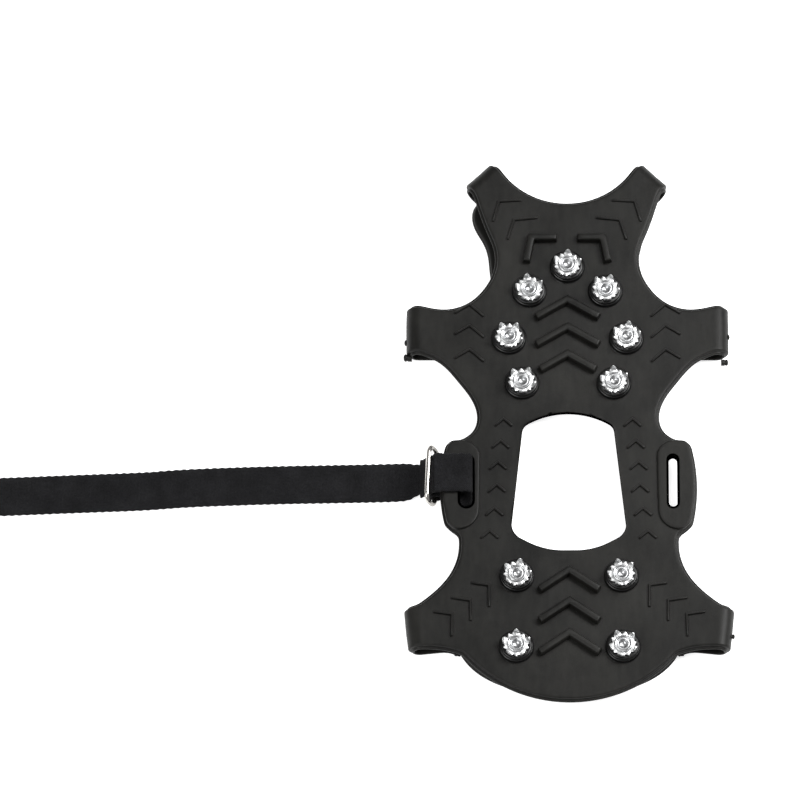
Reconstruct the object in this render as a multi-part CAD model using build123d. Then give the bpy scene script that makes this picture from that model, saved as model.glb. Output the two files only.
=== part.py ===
from build123d import *
import math
import os

# Ice cleat overshoe (microspikes) lying sole side up on its folded-under collar.
# Frame: millimetres, +Z up, +Y to the toe, origin on the middle line near mid length, on the surface it lies on.

# ---- driving dimensions of the rubber
SHEET = 2.4                     # thickness of every rubber wall
HEIGHT = 10.0                   # collar underside to the tread face
SOLE_BOTTOM = HEIGHT - SHEET
CURL_OUTER = HEIGHT / 2         # outside radius where an arm rolls over
CURL_INNER = CURL_OUTER - SHEET
EAR_TOP = HEIGHT + 1.0          # the slotted ears are thicker than the sole
RAISED_BAR = 3.0                # height of the bold chevrons and toe brackets
BOLD_BAR_WIDTH = 3.0
THIN_RIB = 0.8                  # height of the fine moulded chevrons
THIN_RIB_WIDTH = 1.0
ROOT = 1.0                      # how deep raised shapes start inside the rubber that they grow from

# ---- outline of the right half of the sole, heel to toe
HEEL_END = (0, -110.18)
HEEL_ARC = (22.0, -105.4)
HEEL_CORNER = (41.0, -90.9)
TOE_NOTCH = (0, 96.3)
TOE_NOTCH_ARC = (13.4, 99.4)

# ---- arms: middle of the rolled tip, direction in degrees from +X, width, length of the tab underneath
TOE_ARM = ((34.5, 109.0), 46.0, 15.0, 16.0)
MID_ARM = ((62.2, 43.3), 0.0, 20.4, 20.5)
HEEL_ARM = ((62.4, -80.0), -6.0, 18.0, 15.0)

# ---- ears and their slots
SLOT_CENTRE = (40.1, -20.6)
SLOT_WIDTH = 6.9
SLOT_LENGTH = 24.6
LEFT_SLOT_STRETCH = 1.6         # the strap has pulled the left slot this much wider, inwards

# ---- studs: places of the right half and of the middle, and the sizes of one
STUDS = [(0, 68.7), (14.7, 58.5), (22.7, 38.8), (17.7, 20.1), (20.0, -59.4), (20.4, -88.2)]
BOSS_RADIUS = 6.9
BOSS_STEP_RADIUS = 6.0
BOSS_HEIGHT = 2.4
BOSS_STEP_HEIGHT = 1.5
WASHER_BODY_RADIUS = 4.1
WASHER_POINT_RADIUS = 5.2
WASHER_THICK = 0.8
WASHER_TEETH = 5
TOOTH_HEIGHT = 2.6
TOOTH_WIDTH = 2.2
TOOTH_TIP = 0.6                 # width left at a tooth's tip
TOOTH_INSET = 0.3               # from a tooth's outer face to the points' circle
RIVET_FLANGE_RADIUS = 3.5
RIVET_FLANGE_HEIGHT = 0.9
RIVET_SHANK_RADIUS = 2.3
RIVET_DIMPLE_RADIUS = 1.7
RIVET_DIMPLE_DEPTH = 3.0
RIVET_EDGE = 0.5                # rounding of the flange
SHANK_CLEARANCE = 0.03
SEAT_CLEARANCE = 0.05           # round a backing washer
BACKING_RADIUS = 6.0
BACKING_THICK = 0.8
RIVET_HEAD_RADIUS = 3.5
RIVET_HEAD_HEIGHT = 0.4
BOSS_TOP = HEIGHT + BOSS_HEIGHT
WASHER_TOP = BOSS_TOP + WASHER_THICK
# degrees that each star sits turned, as it was riveted
STUD_TURNS = [12, 64, 30, 8, 50, 22, 58, 36, 4, 44, 18]

# ---- collar band: right half of its centreline, toe to heel, and the left toe stretch, which bulges out
BAND_WIDTH = 7.0
BAND_RIGHT = [(0, 82.5), (8.0, 83.0), (13.0, 85.2), (16.4, 88.4), (20.0, 90.3), (23.6, 89.4), (25.8, 86.4),
              (25.7, 82.4), (24.4, 76.5), (23.8, 70.0), (26.0, 61.0), (31.0, 51.5), (34.5, 42.0),
              (32.0, 28.0), (28.5, 12.0), (28.0, -8.0), (28.5, -28.0), (30.0, -46.0), (36.0, -62.0),
              (41.0, -78.0), (36.0, -90.0), (20.0, -99.0), (0, -102.0)]
BAND_LEFT_TOE = [(-8.8, 83.5), (-14.5, 86.4), (-19.4, 90.8), (-23.2, 95.0), (-27.4, 97.2), (-31.6, 95.8),
                 (-33.1, 91.8), (-31.0, 86.0), (-28.4, 78.6), (-27.0, 70.0)]

# ---- strap, its hitch round the left ear, and its ring
WEB_WIDTH = 16.0
WEB_THICK = 1.5
HITCH_Y = -17.4                 # the webbing sits at the toe end of the slot
WIRE = 2.0
RING_LENGTH = 24.5              # outside, along the bars
RING_CORNER = 3.2               # to the middle of the wire
RING_HIGH_BAR = (-54.0, 11.7)   # x, z of the bar that lies over the strap
RING_LOW_BAR = (-50.9, 4.55)    # x, z of the bar sewn into the strap's end
RING_SKEW = -3.0                # degrees that the ring is turned in plan
HITCH_ROUTE = [(-42.4, 5.15), (-46.4, 5.15), (-49.2, 2.35), (-53.1, 2.35), (-53.1, 6.75),
               (-38.5, 6.75), (-38.5, 11.95), (-49.4, 11.95)]
HITCH_RADII = [2.4, 2.4, 2.15, 2.15, 2.3, 2.3]
PASS_ROUTE = [(-50.1, 11.9), (-51.4, 11.2), (-54.6, 6.75)]
PASS_RADII = [1.5]
STRAP_ROUTE = [(-55.8, -17.4, 5.4), (-59.0, -17.4, 2.6), (-63.6, -17.45, 1.25), (-71.0, -17.5, 0.75),
               (-84.0, -17.8, 0.75), (-112.0, -18.3, 0.75), (-138.0, -19.2, 0.75), (-151.0, -19.9, 0.75),
               (-163.0, -21.0, 0.75), (-190.0, -22.0, 0.75), (-222.0, -23.4, 0.75), (-262.0, -24.6, 0.75),
               (-302.0, -25.4, 0.75)]
ARC_SHARE = 0.45                # share of the shorter run that a corner's arc takes
HOOK_PATCH_LENGTH = 38.0
HOOK_PATCH_THICK = 1.0
TACK_LENGTH = 12.0
TACK_WIDTH = 0.9
TACK_HEIGHT = 0.3
TACK_PLACES = (-43.1, -44.7)


def direction(angle):
    """Unit vector in plan at this many degrees from +X."""
    return Vector(math.cos(math.radians(angle)), math.sin(math.radians(angle)))


def fold_corners(arm):
    """The two ends of the line where an arm starts to roll over, the heel-side one first."""
    tip, angle, width, tab_length = arm
    out = direction(angle)
    across = Vector(-out.Y, out.X)
    middle = Vector(*tip) - out * CURL_OUTER
    return middle - across * (width / 2), middle + across * (width / 2)


def in_plan(v):
    return (v.X, v.Y)


def bent_bar(start, corner, end, width):
    """Flat face of a two-legged bar of constant width, mitred at its corner."""
    a, b, c = Vector(*start), Vector(*corner), Vector(*end)
    leg_1, leg_2 = (b - a).normalized(), (c - b).normalized()
    side_1, side_2 = Vector(-leg_1.Y, leg_1.X), Vector(-leg_2.Y, leg_2.X)
    mitre = (side_1 + side_2) * (1 / (1 + side_1.dot(side_2)))
    half = width / 2
    ring = [a + side_1 * half, b + mitre * half, c + side_2 * half,
            c - side_2 * half, b - mitre * half, a - side_1 * half]
    return make_face(Polyline(*[in_plan(p) for p in ring], close=True))


def raised(face, bottom, top):
    """A flat face made solid between two heights."""
    return extrude(Pos(0, 0, bottom) * face, top - bottom)


def both_sides(solid):
    """A right-hand solid with its left-hand mirror image."""
    return [solid, mirror(solid, Plane.YZ)]


def sole_outline():
    """Half the sole as one face, mirrored and joined into the whole."""
    heel_low, heel_high = fold_corners(HEEL_ARM)
    mid_low, mid_high = fold_corners(MID_ARM)
    toe_low, toe_high = fold_corners(TOE_ARM)
    edges = [
        ThreePointArc(HEEL_END, HEEL_ARC, HEEL_CORNER),
        Spline(HEEL_CORNER, (48.5, -88.9), in_plan(heel_low)),
        Line(in_plan(heel_low), in_plan(heel_high)),
        Spline(in_plan(heel_high), (51.5, -64.9), (44.9, -56.6), (42.2, -47.5), (42.2, -42.4)),
        Line((42.2, -42.4), (44.6, -41.0)),
        Line((44.6, -41.0), (47.6, -38.0)),
        ThreePointArc((47.6, -38.0), (49.4, -21.3), (47.2, -4.8)),
        Line((47.2, -4.8), (44.8, -2.6)),
        Line((44.8, -2.6), (41.2, -2.6)),
        Spline((41.2, -2.6), (36.6, 1.0), (35.0, 6.5), (36.6, 13.0), (42.4, 21.6), (49.5, 29.4),
               in_plan(mid_low)),
        Line(in_plan(mid_low), in_plan(mid_high)),
        Spline(in_plan(mid_high), (47.0, 51.8), (38.4, 54.4), (32.0, 60.6), (28.3, 68.5), (28.2, 76.0),
               (31.0, 83.8), (33.4, 90.5), in_plan(toe_low)),
        Line(in_plan(toe_low), in_plan(toe_high)),
        ThreePointArc(in_plan(toe_high), TOE_NOTCH_ARC, TOE_NOTCH),
        Line(TOE_NOTCH, HEEL_END),
    ]
    right = make_face(edges)
    return right + mirror(right, Plane.YZ)


def arch_opening():
    """The big opening under the arch of the foot."""
    edges = [
        ThreePointArc((0, 10.7), (9.5, 9.3), (16.6, 6.2)),
        ThreePointArc((16.6, 6.2), (19.2, 3.9), (20.1, 0.4)),
        Line((20.1, 0.4), (24.1, -36.0)),
        ThreePointArc((24.1, -36.0), (23.0, -42.8), (18.5, -46.4)),
        ThreePointArc((18.5, -46.4), (9.6, -50.2), (0, -51.0)),
        Line((0, -51.0), (0, 10.7)),
    ]
    right = make_face(edges)
    return right + mirror(right, Plane.YZ)


def ear_pad():
    """The thickened right-hand ear, with its rounded heel-side corner."""
    edges = [
        Line((41.2, -2.6), (44.8, -2.6)),
        Line((44.8, -2.6), (47.2, -4.8)),
        ThreePointArc((47.2, -4.8), (49.4, -21.3), (47.6, -38.0)),
        Line((47.6, -38.0), (44.6, -41.0)),
        ThreePointArc((44.6, -41.0), (38.0, -40.0), (33.4, -33.0)),
        Line((33.4, -33.0), (33.0, -9.0)),
        ThreePointArc((33.0, -9.0), (35.6, -4.4), (41.2, -2.6)),
    ]
    return make_face(edges)


def ear_slot(side, stretch):
    """The long slot in the right (1) or left (-1) ear, stretched towards the middle of the sole."""
    middle = side * (SLOT_CENTRE[0] - stretch / 2)
    return Pos(middle, SLOT_CENTRE[1]) * Rot(0, 0, 90) * SlotOverall(SLOT_LENGTH, SLOT_WIDTH + stretch)


def tread_faces():
    """Faces of the bold chevrons and toe brackets, then faces of the fine ribs."""
    chevrons = [(12.2, 7.3, y) for y in (54.6, 43.2)] + [(10.8, 6.5, 31.9)]
    chevrons += [(11.5, 8.0, y) for y in (-57.4, -70.0, -82.9)]
    bold = [bent_bar((-half, y - drop), (0, y), (half, y - drop), BOLD_BAR_WIDTH)
            for half, drop, y in chevrons]
    bracket = bent_bar((3.9, 80.6), (13.8, 80.6), (15.8, 70.4), BOLD_BAR_WIDTH)
    bold += both_sides(bracket)
    legs = [((17.5, 96.8), (26.3, 96.3), (28.7, 87.8)), ((11.3, 89.5), (20.5, 88.5), (23.0, 80.2))]
    legs += [((32.2, y - 5.0), (37.8, y), (43.6, y - 3.6)) for y in (53.0, 44.2, 34.2)]
    arch = [(24.8, 5.4), (26.0, -3.7), (27.0, -12.5), (27.5, -21.8), (28.5, -31.5), (30.3, -40.9)]
    legs += [((x - 3.4, y - 3.0), (x, y), (x + 3.4, y - 3.0)) for x, y in arch]
    heel = [((30.6, -72.0), (30.7, -63.1), (37.4, -62.1)), ((37.7, -77.7), (37.8, -69.3), (45.1, -68.2)),
            ((45.0, -83.9), (44.8, -75.0), (51.9, -73.9))]
    fine = [half for leg in legs + heel for half in both_sides(bent_bar(*leg, THIN_RIB_WIDTH))]
    return bold, fine


def stud_places():
    """Every stud's middle: the middle one, then right and left pairs from toe to heel."""
    places = []
    for x, y in STUDS:
        places += [(x, y)] if x == 0 else [(x, y), (-x, y)]
    return places


def sole_plate():
    """The flat sole with ears, bosses, chevrons and ribs, cut by the arch, the slots and the stud seats."""
    solid = raised(sole_outline(), SOLE_BOTTOM, HEIGHT)
    for ear in both_sides(raised(ear_pad(), SOLE_BOTTOM, EAR_TOP)):
        solid += ear
    bold, fine = tread_faces()
    for face in bold:
        solid += raised(face, HEIGHT - ROOT, HEIGHT + RAISED_BAR)
    for face in fine:
        solid += raised(face, HEIGHT - ROOT, HEIGHT + THIN_RIB)
    for x, y in stud_places():
        solid += raised(Pos(x, y) * Circle(BOSS_RADIUS), HEIGHT - ROOT, HEIGHT + BOSS_STEP_HEIGHT)
        solid += raised(Pos(x, y) * Circle(BOSS_STEP_RADIUS), HEIGHT - ROOT, BOSS_TOP)
    solid -= raised(arch_opening(), SOLE_BOTTOM - ROOT, EAR_TOP + ROOT)
    for slot in (ear_slot(1, 0), ear_slot(-1, LEFT_SLOT_STRETCH)):
        solid -= raised(slot, SOLE_BOTTOM - ROOT, EAR_TOP + ROOT)
    for x, y in stud_places():
        bore = Pos(x, y) * Circle(RIVET_SHANK_RADIUS + SHANK_CLEARANCE)
        solid -= raised(bore, SOLE_BOTTOM - ROOT, BOSS_TOP + ROOT)
        seat = Pos(x, y) * Circle(BACKING_RADIUS)
        solid -= raised(seat, SOLE_BOTTOM - ROOT, SOLE_BOTTOM + BACKING_THICK)
    return solid


def rolled_arm(arm):
    """An arm's end: half a tube from the fold line, and a tab back under the sole."""
    tip, angle, width, tab_length = arm
    roll = Circle(CURL_OUTER) - Circle(CURL_INNER)
    roll = roll & (Pos(CURL_OUTER / 2, 0) * Rectangle(CURL_OUTER, 2 * CURL_OUTER))
    tab = Pos(-tab_length / 2, -CURL_OUTER + SHEET / 2) * Rectangle(tab_length, SHEET)
    section = Plane.XZ * Pos(0, CURL_OUTER) * (roll + tab)
    solid = extrude(section, width / 2, both=True)
    middle = Vector(*tip) - direction(angle) * CURL_OUTER
    return Pos(middle.X, middle.Y, 0) * Rot(0, 0, angle) * solid


def band_points():
    """The collar band's whole centreline, right side toe to heel, then left side heel to toe."""
    left = BAND_LEFT_TOE + [(-x, y) for x, y in BAND_RIGHT[len(BAND_LEFT_TOE):-1]]
    return BAND_RIGHT + left[::-1]


def band_edge(side):
    """The collar band's outer edge (side 1) or inner edge (side -1), at each point of its centreline."""
    points = [Vector(*p) for p in band_points()]
    edge = []
    for before, here, after in zip(points[-1:] + points[:-1], points, points[1:] + points[:1]):
        along = (after - before).normalized()
        edge.append(in_plan(here + Vector(-along.Y, along.X) * (side * BAND_WIDTH / 2)))
    return make_face(Spline(*edge, periodic=True))


def collar_band():
    """The closed elastic band that grips the shoe's upper."""
    return raised(band_edge(1) - band_edge(-1), 0, SHEET)


def up_to_band(arm, band):
    """The arm without the band it runs into, and without the bit of its tab past the band."""
    return (arm - band).solids().sort_by(SortBy.VOLUME)[-1]


def star_washer(turn):
    """Pressed star: a plate with ten points, of which every other one is bent up into a tooth."""
    count = 4 * WASHER_TEETH
    radii = [WASHER_POINT_RADIUS if i % 2 == 0 else WASHER_BODY_RADIUS for i in range(count)]
    ring = [in_plan(direction(360 / count * i) * radii[i]) for i in range(count)]
    star = make_face(Polyline(*ring, close=True)) - Circle(RIVET_SHANK_RADIUS + SHANK_CLEARANCE)
    solid = raised(star, BOSS_TOP, WASHER_TOP)
    inside = WASHER_POINT_RADIUS - WASHER_THICK - TOOTH_INSET
    for i in range(WASHER_TEETH):
        tooth = Polyline((-TOOTH_WIDTH / 2, 0), (TOOTH_WIDTH / 2, 0), (TOOTH_TIP / 2, TOOTH_HEIGHT),
                         (-TOOTH_TIP / 2, TOOTH_HEIGHT), close=True)
        upright = extrude(Plane.YZ * make_face(tooth), WASHER_THICK)
        solid += Rot(0, 0, 360 / WASHER_TEETH * i) * Pos(inside, 0, BOSS_TOP + WASHER_THICK / 2) * upright
    return Rot(0, 0, turn) * solid


def rivet():
    """Hollow rivet: rolled flange over the washer, shank through the boss, low head under the sole."""
    flange_top = WASHER_TOP + RIVET_FLANGE_HEIGHT
    solid = raised(Circle(RIVET_FLANGE_RADIUS), WASHER_TOP, flange_top)
    solid = fillet(solid.edges().group_by(Axis.Z)[-1], RIVET_EDGE)
    solid += raised(Circle(RIVET_SHANK_RADIUS), SOLE_BOTTOM, WASHER_TOP)
    solid += raised(Circle(RIVET_HEAD_RADIUS), SOLE_BOTTOM - RIVET_HEAD_HEIGHT, SOLE_BOTTOM)
    solid -= raised(Circle(RIVET_DIMPLE_RADIUS), flange_top - RIVET_DIMPLE_DEPTH, flange_top)
    return solid


def backing_washer():
    """Flat washer let into the underside of the sole."""
    ring = Circle(BACKING_RADIUS - SEAT_CLEARANCE) - Circle(RIVET_SHANK_RADIUS + SHANK_CLEARANCE)
    return raised(ring, SOLE_BOTTOM, SOLE_BOTTOM + BACKING_THICK - SEAT_CLEARANCE)


def strap_ring():
    """Rectangular ring of round wire, standing on the bar that the strap's sewn end holds."""
    low, high = RING_LOW_BAR, RING_HIGH_BAR
    across = Vector(high[0] - low[0], 0, high[1] - low[1])
    middle = Vector((high[0] + low[0]) / 2, 0, (high[1] + low[1]) / 2)
    plane = Plane(origin=middle, x_dir=across, z_dir=across.cross(Vector(0, 1, 0)))
    path = plane * RectangleRounded(across.length, RING_LENGTH - WIRE, RING_CORNER).face().outer_wire()
    section = Plane(origin=path @ 0, z_dir=path % 0) * Circle(WIRE / 2)
    ring = Pos(-low[0], 0, 0) * sweep(section, path=path)
    return Pos(low[0], HITCH_Y, 0) * Rot(0, 0, RING_SKEW) * ring


def webbing(path):
    """Flat webbing along a path: its width stays along Y, its thickness turns with the path."""
    section = Plane(origin=path @ 0, x_dir=(0, 1, 0), z_dir=path % 0) * Rectangle(WEB_WIDTH, WEB_THICK)
    return sweep(section, path=path, binormal=Pos(0, WEB_WIDTH, 0) * path)


def side_view_path(points, radii):
    """A path that bends only in side view, at the hitch's place along Y."""
    return FilletPolyline(*[(x, HITCH_Y, z) for x, z in points], radius=radii)


def arc_radii(points):
    """Radius of each corner's arc, from the shorter of its two runs and half its turn."""
    radii = []
    for before, corner, after in zip(points, points[1:], points[2:]):
        run_1, run_2 = Vector(*corner) - Vector(*before), Vector(*after) - Vector(*corner)
        half_turn = math.radians(run_1.get_angle(run_2)) / 2
        radii.append(ARC_SHARE * min(run_1.length, run_2.length) / math.tan(half_turn))
    return radii


def hook_patch():
    """Hook tape sewn on the upper face of the strap's free end."""
    end, before = Vector(*STRAP_ROUTE[-1]), Vector(*STRAP_ROUTE[-2])
    along = (before - end).normalized()
    middle = end + along * (HOOK_PATCH_LENGTH / 2) + Vector(0, 0, (WEB_THICK + HOOK_PATCH_THICK) / 2)
    place = Plane(origin=middle, x_dir=along, z_dir=(0, 0, 1))
    return place * Box(HOOK_PATCH_LENGTH, WEB_WIDTH, HOOK_PATCH_THICK)


def bar_tacks():
    """The two dense stitch rows that close the fold round the ring's low bar."""
    z = HITCH_ROUTE[0][1] - WEB_THICK / 2 - TACK_HEIGHT / 2
    return Part() + [Pos(x, HITCH_Y, z) * Box(TACK_WIDTH, TACK_LENGTH, TACK_HEIGHT) for x in TACK_PLACES]


def build():
    """Every node by name."""
    nodes = {"sole_plate": sole_plate(), "collar_band": collar_band()}
    for name, arm in (("toe_arm", TOE_ARM), ("mid_arm", MID_ARM), ("heel_arm", HEEL_ARM)):
        right, left = both_sides(rolled_arm(arm))
        nodes[name + "_right"] = up_to_band(right, nodes["collar_band"])
        nodes[name + "_left"] = up_to_band(left, nodes["collar_band"])
    for i, (x, y) in enumerate(stud_places(), 1):
        turn = STUD_TURNS[i - 1]
        nodes[f"star_washer_{i:02d}"] = Pos(x, y) * star_washer(turn)
        nodes[f"rivet_{i:02d}"] = Pos(x, y) * rivet()
        nodes[f"backing_washer_{i:02d}"] = Pos(x, y) * backing_washer()
    hitch_path = side_view_path(HITCH_ROUTE, HITCH_RADII)
    pass_path = side_view_path(PASS_ROUTE, PASS_RADII)
    radii = arc_radii(STRAP_ROUTE)
    strap_path = FilletPolyline(*STRAP_ROUTE, radius=radii)
    nodes["strap_hitch"] = webbing(hitch_path)
    nodes["strap_pass"] = webbing(pass_path)
    nodes["strap"] = webbing(strap_path)
    nodes["strap_ring"] = strap_ring()
    nodes["hook_patch"] = hook_patch()
    nodes["bar_tacks"] = bar_tacks()
    print("strap arc radii, mm:", [round(r, 1) for r in radii])
    lengths = [path.length for path in (hitch_path, pass_path, strap_path)]
    print("webbing lengths, mm: hitch, pass, strap:", [round(length, 1) for length in lengths])
    section = WEB_WIDTH * WEB_THICK
    print("strap volume over section times length:", round(nodes["strap"].volume / section / lengths[2], 3))
    return nodes


def main():
    os.makedirs("parts", exist_ok=True)
    for name, solid in build().items():
        export_step(solid, f"parts/{name}.step")


if __name__ == "__main__":
    main()
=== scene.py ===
import math

import bmesh
import bpy
import numpy as np
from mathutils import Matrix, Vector
from mathutils.geometry import delaunay_2d_cdt


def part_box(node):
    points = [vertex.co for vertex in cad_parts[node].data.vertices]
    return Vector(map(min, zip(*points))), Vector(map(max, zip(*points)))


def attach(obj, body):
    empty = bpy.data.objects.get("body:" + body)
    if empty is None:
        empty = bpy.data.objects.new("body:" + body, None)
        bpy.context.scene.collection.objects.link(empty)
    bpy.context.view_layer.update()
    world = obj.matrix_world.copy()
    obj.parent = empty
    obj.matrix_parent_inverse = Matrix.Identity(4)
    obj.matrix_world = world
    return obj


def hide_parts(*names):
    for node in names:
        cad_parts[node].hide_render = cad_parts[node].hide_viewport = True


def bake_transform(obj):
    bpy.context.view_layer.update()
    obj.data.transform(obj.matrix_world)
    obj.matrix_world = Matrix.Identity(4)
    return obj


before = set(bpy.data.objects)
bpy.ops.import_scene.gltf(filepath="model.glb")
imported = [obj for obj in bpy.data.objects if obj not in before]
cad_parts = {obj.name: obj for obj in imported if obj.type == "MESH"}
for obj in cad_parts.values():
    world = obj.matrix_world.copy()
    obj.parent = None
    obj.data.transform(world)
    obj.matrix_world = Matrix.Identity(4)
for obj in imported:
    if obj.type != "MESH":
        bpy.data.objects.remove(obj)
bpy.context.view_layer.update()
MM = 0.001

# ---- Camera
# It looks down from the heel side, far enough away for the studs to stay round. The overshoe stands right of the
# middle, so that the strap has room to run out to the left.
VIEW_CENTRE = Vector((-0.0647, 0.0133, 0.010))
VIEW_ELEVATION = math.radians(68)
VIEW_DISTANCE = 4.0
VIEW_WIDTH = 0.308
camera = bpy.data.objects.new("camera", bpy.data.cameras.new("camera"))
camera.data.lens = camera.data.sensor_width * VIEW_DISTANCE / VIEW_WIDTH
view_back = Vector((0, -math.cos(VIEW_ELEVATION), math.sin(VIEW_ELEVATION)))
camera.location = VIEW_CENTRE + view_back * VIEW_DISTANCE
camera.rotation_euler = view_back.to_track_quat("Z", "Y").to_euler()
bpy.context.scene.collection.objects.link(camera)
bpy.context.scene.camera = camera


# ---- Instep strap
# Black hook-and-loop webbing, 16 mm wide: a napped middle between two flat selvages, each with a line of stitches.
# It leaves the ring, comes down to the table and lies on it. Its far end is cut with heat.
WEB_WIDTH = 16.0 * MM
WEB_THICK = 1.5 * MM
SELVAGE = 2.7 * MM
SCALLOP_PITCH = 2.9 * MM
WEFT_PITCH = 1.05 * MM
WEB_STEP = 0.36 * MM
STRAP_ROUTE = [
    (-55.8, -17.4, 5.4), (-59.0, -17.4, 2.6), (-63.6, -17.45, 1.25), (-71.0, -17.5, 0.75), (-84.0, -17.8, 0.75),
    (-112.0, -18.3, 0.75), (-138.0, -19.2, 0.75), (-151.0, -19.9, 0.75), (-163.0, -21.0, 0.75),
    (-190.0, -22.0, 0.75), (-222.0, -23.4, 0.75), (-262.0, -24.6, 0.75), (-302.0, -25.4, 0.75),
]


def route_line(name, points, step):
    """Points every step along the NURBS curve that has the route's points (in mm) as its control points."""
    curve = bpy.data.curves.new(name, "CURVE")
    curve.dimensions = "3D"
    curve.resolution_u = 24
    spline = curve.splines.new("NURBS")
    spline.points.add(len(points) - 1)
    control = np.column_stack([np.array(points) * MM, np.ones(len(points))])
    spline.points.foreach_set("co", control.ravel())
    spline.order_u = 3
    spline.use_endpoint_u = True
    holder = bpy.data.objects.new(name, curve)
    mesh = bpy.data.meshes.new_from_object(holder)
    line = np.zeros(len(mesh.vertices) * 3)
    mesh.vertices.foreach_get("co", line)
    line = line.reshape(-1, 3)
    bpy.data.objects.remove(holder)
    bpy.data.curves.remove(curve)
    bpy.data.meshes.remove(mesh)
    run = np.concatenate([[0], np.cumsum(np.linalg.norm(np.diff(line, axis=0), axis=1))])
    even = np.linspace(0, run[-1], max(2, round(run[-1] / step)))
    return np.column_stack([np.interp(even, run, line[:, k]) for k in range(3)]), even


def line_frames(line):
    """At each point of a line: its tangent, the level direction square to it, and their cross product."""
    tangent = np.gradient(line, axis=0)
    tangent /= np.linalg.norm(tangent, axis=1, keepdims=True)
    side = np.column_stack([-tangent[:, 1], tangent[:, 0], np.zeros(len(line))])
    return tangent, side, np.cross(tangent, side)


def shown(name, verts, faces, material, sharp=38, weld=0.0):
    """A mesh object from points and faces, smooth but for edges sharper than an angle, with its faces outwards."""
    mesh = bpy.data.meshes.new(name)
    mesh.from_pydata(np.asarray(verts).tolist(), [], faces)
    work = bmesh.new()
    work.from_mesh(mesh)
    if weld:
        bmesh.ops.remove_doubles(work, verts=work.verts, dist=weld)
    bmesh.ops.recalc_face_normals(work, faces=work.faces)
    work.to_mesh(mesh)
    work.free()
    mesh.polygons.foreach_set("use_smooth", [True] * len(mesh.polygons))
    mesh.set_sharp_from_angle(angle=math.radians(sharp))
    mesh.materials.append(material)
    obj = bpy.data.objects.new(name, mesh)
    bpy.context.scene.collection.objects.link(obj)
    return obj


def ring_faces(rings, around, start=0, looped=False, capped=True):
    """Faces of a skin over rings of equal point count: quads between neighbours, and a face at each open end."""
    i, j = np.meshgrid(np.arange(rings if looped else rings - 1), np.arange(around), indexing="ij")
    here, after, beside = i * around, (i + 1) % rings * around, (j + 1) % around
    quads = np.stack([here + j, after + j, after + beside, here + beside], axis=-1).reshape(-1, 4) + start
    faces = quads.tolist()
    if capped and not looped:
        faces.append([start + k for k in range(around)][::-1])
        faces.append([start + (rings - 1) * around + k for k in range(around)])
    return faces


def web_section(run):
    """The webbing's outline at each place along it: a flat rounded oblong whose edges swell at every weft turn,
    with a stitched groove inside each selvage and low weft ribs across the napped middle."""
    across = np.sin(np.linspace(-1, 1, 31) * math.pi / 2)
    loop = np.concatenate([across, across[::-1]])
    face = np.repeat([1.0, -1.0], len(across))
    half = WEB_WIDTH / 2 - 0.14 * MM + 0.14 * MM * np.cos(2 * math.pi * run / SCALLOP_PITCH)
    y = half[:, None] * loop
    height = WEB_THICK / 2 * (1 - np.abs(loop) ** 14) ** 0.5
    middle = np.clip((1 - np.abs(y) / (WEB_WIDTH / 2 - SELVAGE)) * 8, 0, 1)
    groove = np.exp(-((np.abs(y) - (WEB_WIDTH / 2 - SELVAGE)) / (0.28 * MM)) ** 2)
    stitch = 0.5 + 0.5 * np.cos(2 * math.pi * run[:, None] / SCALLOP_PITCH)
    rib = np.cos(2 * math.pi * run[:, None] / WEFT_PITCH)
    z = face * (height - groove * (0.26 - 0.16 * stitch) * MM - middle * (0.10 - 0.05 * rib) * MM)
    return y, z


def ribbon(name, line, run, side, up):
    """Webbing carried along a line, with a UV map of metres along and metres across it."""
    y, z = web_section(run)
    verts = line[:, None] + side[:, None] * y[..., None] + up[:, None] * z[..., None]
    obj = shown(name, verts.reshape(-1, 3), ring_faces(*y.shape), web_black, sharp=60)
    corner = np.zeros(len(obj.data.loops), int)
    obj.data.loops.foreach_get("vertex_index", corner)
    layer = obj.data.uv_layers.new(name="along_across")
    uv = np.column_stack([np.repeat(run, y.shape[1])[corner], y.ravel()[corner]])
    layer.data.foreach_set("uv", uv.ravel())
    return obj


def nap(name, line, run, material, density, seed, both=False):
    """Loop pile brushed up from the webbing's middle: short curled fibres, each a bent strip of three quads."""
    rng = np.random.default_rng(seed)
    tangent, side, up = line_frames(line)
    count = int(density * run[-1] / MM)
    place = rng.uniform(0.4 * MM, run[-1] - 0.4 * MM, count)
    index = np.interp(place, run, np.arange(len(run))).astype(int)
    face = rng.choice([1.0, -1.0], count) if both else np.ones(count)
    edge = rng.uniform(0, 1, count) < 0.12
    y = np.where(edge, rng.choice([-1, 1], count) * 7.9 * MM, rng.uniform(-1, 1, count) * 5.2 * MM)
    root = line[index] + side[index] * y[:, None] + up[index] * (face * 0.62 * MM)[:, None]
    lean = rng.uniform(0, 2 * math.pi, count)
    flat = tangent[index] * np.cos(lean)[:, None] + side[index] * np.sin(lean)[:, None]
    lift = up[index] * face[:, None]
    tall = rng.uniform(0.22, 0.52, count)[:, None] * MM
    far = rng.uniform(0.15, 0.6, count)[:, None] * MM
    wide = np.cross(flat, lift) * 0.035 * MM
    t = np.linspace(0, 1, 4)[None, :, None]
    spine = root[:, None] + lift[:, None] * tall[:, None] * np.sin(t * 2.5) + flat[:, None] * far[:, None] * t
    thin = 1 - 0.6 * t
    verts = np.stack([spine - wide[:, None] * thin, spine + wide[:, None] * thin], axis=2).reshape(-1, 3)
    base = (np.arange(count) * 8)[:, None, None] + (np.arange(3) * 2)[None, :, None]
    quads = (base + np.array([0, 1, 3, 2])[None, None]).reshape(-1, 4)
    mesh = bpy.data.meshes.new(name)
    mesh.from_pydata(verts.tolist(), [], quads.tolist())
    mesh.materials.append(material)
    obj = bpy.data.objects.new(name, mesh)
    bpy.context.scene.collection.objects.link(obj)
    return obj


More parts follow.
